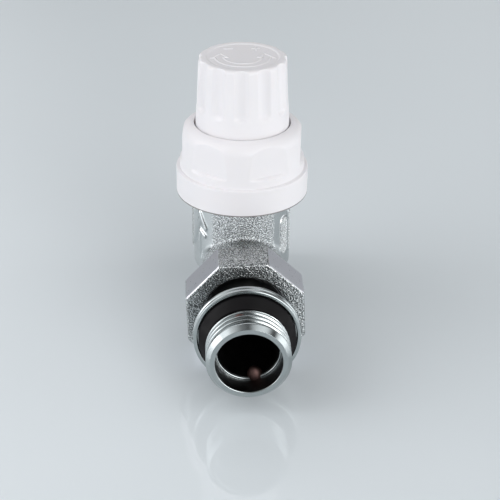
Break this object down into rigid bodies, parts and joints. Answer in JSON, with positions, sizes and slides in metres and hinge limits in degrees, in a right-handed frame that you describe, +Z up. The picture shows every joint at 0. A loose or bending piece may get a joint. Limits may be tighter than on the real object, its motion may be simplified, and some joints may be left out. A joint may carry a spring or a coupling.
{
  "type": "thermostatic radiator valve",
  "caption": "Straight radiator valve with a white screwed cap and knob on a sprung stem, a female inlet socket, and an octagonal union nut with a threaded tailpiece.",
  "frame": {"origin": "middle of the valve's length and width, on the surface it stands on", "axes": "+Z up along the stem, +Y along the pipe axis towards the inlet socket, -Y towards the outlet that faces the radiator, +X to the right seen from the outlet"},
  "size_m": [0.035, 0.084, 0.0726],
  "materials": {
    "nickel_casting": "nickel plate over a fine sand-cast grain",
    "nickel_turned": "bright nickel plate over turned brass",
    "brass": "bare turned brass",
    "steel": "bright stainless",
    "seal_rubber": "matt black",
    "white_plastic": "satin moulded white",
    "grey_plastic": "natural acetal"
  },
  "bodies": {
    "body": {"valve_body": "nickel_casting", "bonnet": "brass", "bonnet_oring": "seal_rubber", "spring_seat": "steel", "return_spring": "steel", "gland_washer": "brass", "stem_oring": "seal_rubber", "gland_nut": "brass", "stem_wiper": "seal_rubber"},
    "stem": {"stem": "steel", "stem_spring_cap": "steel", "stem_clip": "steel", "disc_holder": "brass", "valve_disc": "seal_rubber", "disc_nut": "brass"},
    "slip_ring": {"collar_slip_ring": "grey_plastic"},
    "collar": {"collar": "white_plastic"},
    "pusher": {"knob_pusher": "grey_plastic"},
    "knob": {"knob": "white_plastic"},
    "tailpiece": {"tailpiece": "nickel_turned", "radiator_seal": "seal_rubber", "union_oring": "seal_rubber", "union_snap_ring": "steel"},
    "nut": {"union_nut": "nickel_casting"}
  },
  "joints": [
    {"name": "stem_travel", "type": "slide", "parent": "body", "child": "stem", "axis": [0, 0, 1], "range_m": [-0.00365, 0], "deforming": ["return_spring"]},
    {"name": "cap_lift", "type": "slide", "parent": "body", "child": "slip_ring", "axis": [0, 0, 1], "range_m": [0, 0.00905]},
    {"name": "collar_turn", "type": "hinge", "parent": "slip_ring", "child": "collar", "pos_m": [0, 0.014, 0.04526], "axis": [0, 0, 1], "range_deg": [0, 2160]},
    {"name": "knob_travel", "type": "slide", "parent": "collar", "child": "pusher", "axis": [0, 0, 1], "range_m": [-0.00365, 0]},
    {"name": "knob_turn", "type": "hinge", "parent": "pusher", "child": "knob", "pos_m": [0, 0.014, 0.06026], "axis": [0, 0, 1], "range_deg": [-432, 0]},
    {"name": "tail_travel", "type": "slide", "parent": "body", "child": "tailpiece", "axis": [0, -1, 0], "range_m": [0, 0.0091]},
    {"name": "nut_turn", "type": "hinge", "parent": "tailpiece", "child": "nut", "pos_m": [0, -0.016, 0.01526], "axis": [0, -1, 0], "range_deg": [0, 1800]}
  ],
  "couplings": [
    {"joint": "cap_lift", "follows": "collar_turn", "m_per_rad": 0.00023873},
    {"joint": "knob_travel", "follows": "knob_turn", "m_per_rad": 0.00047746},
    {"joint": "stem_travel", "follows": "knob_turn", "m_per_rad": 0.00047746},
    {"joint": "tail_travel", "follows": "nut_turn", "m_per_rad": 0.00028871}
  ]
}
